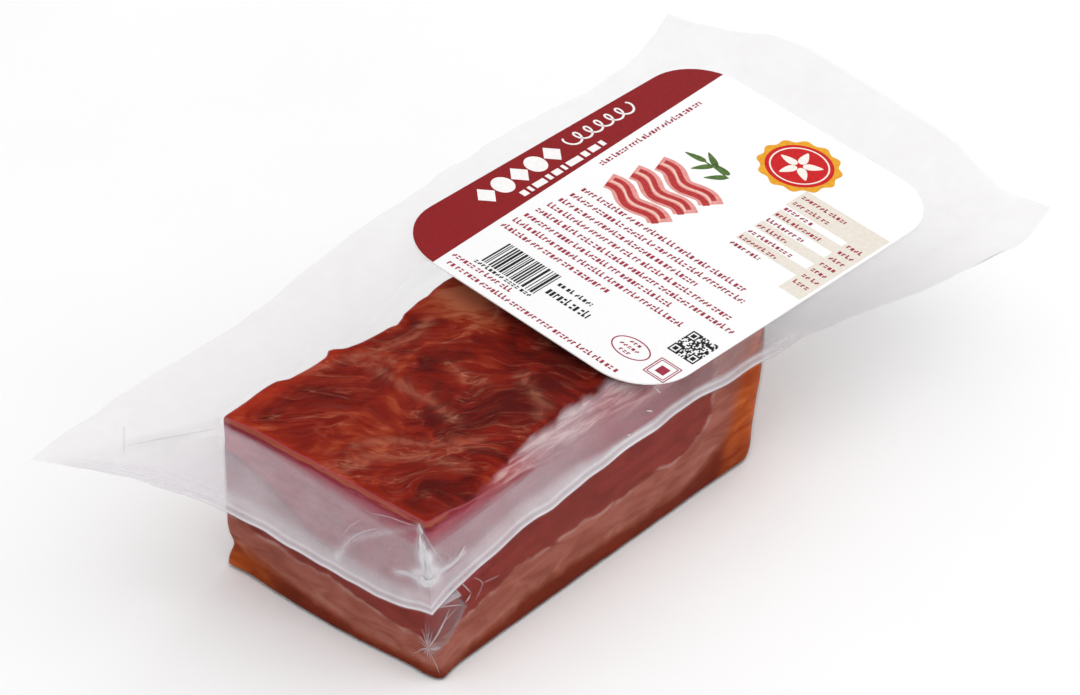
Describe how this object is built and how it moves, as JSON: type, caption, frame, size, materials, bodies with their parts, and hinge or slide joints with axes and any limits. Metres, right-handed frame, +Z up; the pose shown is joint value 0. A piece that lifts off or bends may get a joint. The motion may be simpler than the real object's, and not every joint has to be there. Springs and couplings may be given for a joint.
{
  "type": "vacuum pack of smoked bacon",
  "caption": "Clear vacuum pack round a block of smoked bacon, with a wide sealed film edge and a paper label stuck on top over one end.",
  "frame": {"origin": "middle of the flat underside of the bacon block", "axes": "+X along the pack toward the end that the label reaches over, +Y toward the far long side where the film spreads wide, +Z up"},
  "size_m": [0.2067, 0.1065, 0.0479],
  "materials": {
    "clear_film": "clear laminated film, milky where it hangs free",
    "bacon": "moist smoked meat and fat pressed under film",
    "label_paper": "coated white label paper",
    "label_print": "flat printing ink"
  },
  "bodies": {
    "root": {"pack": "clear_film", "label": "label_paper"}
  },
  "joints": []
}
